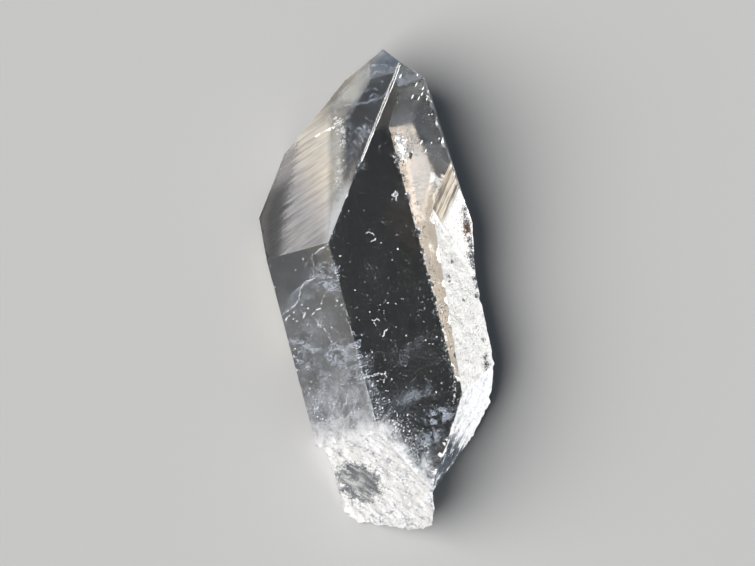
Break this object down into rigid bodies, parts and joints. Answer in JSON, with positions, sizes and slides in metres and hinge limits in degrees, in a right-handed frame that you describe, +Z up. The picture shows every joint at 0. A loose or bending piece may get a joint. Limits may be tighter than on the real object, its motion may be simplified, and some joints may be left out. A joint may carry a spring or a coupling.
{
  "type": "quartz crystal",
  "caption": "Clear natural quartz crystal: a flattened hexagonal prism with a pointed end, a recessed frosted corner and a rough broken root.",
  "frame": {"origin": "centre of the footprint of the bounding box, on the surface the crystal rests on", "axes": "+Y along the crystal's long axis towards its tip, +Z up out of the widest prism face, +X to the right with the tip pointing away"},
  "size_m": [0.0398, 0.0902, 0.0187],
  "materials": {
    "clear_quartz": "clear, glassy",
    "frosted_quartz": "frosted",
    "milky_quartz": "milky, granular",
    "iron_stain": "dull, earthy"
  },
  "bodies": {
    "root": {"quartz_crystal": "clear_quartz"}
  },
  "joints": []
}
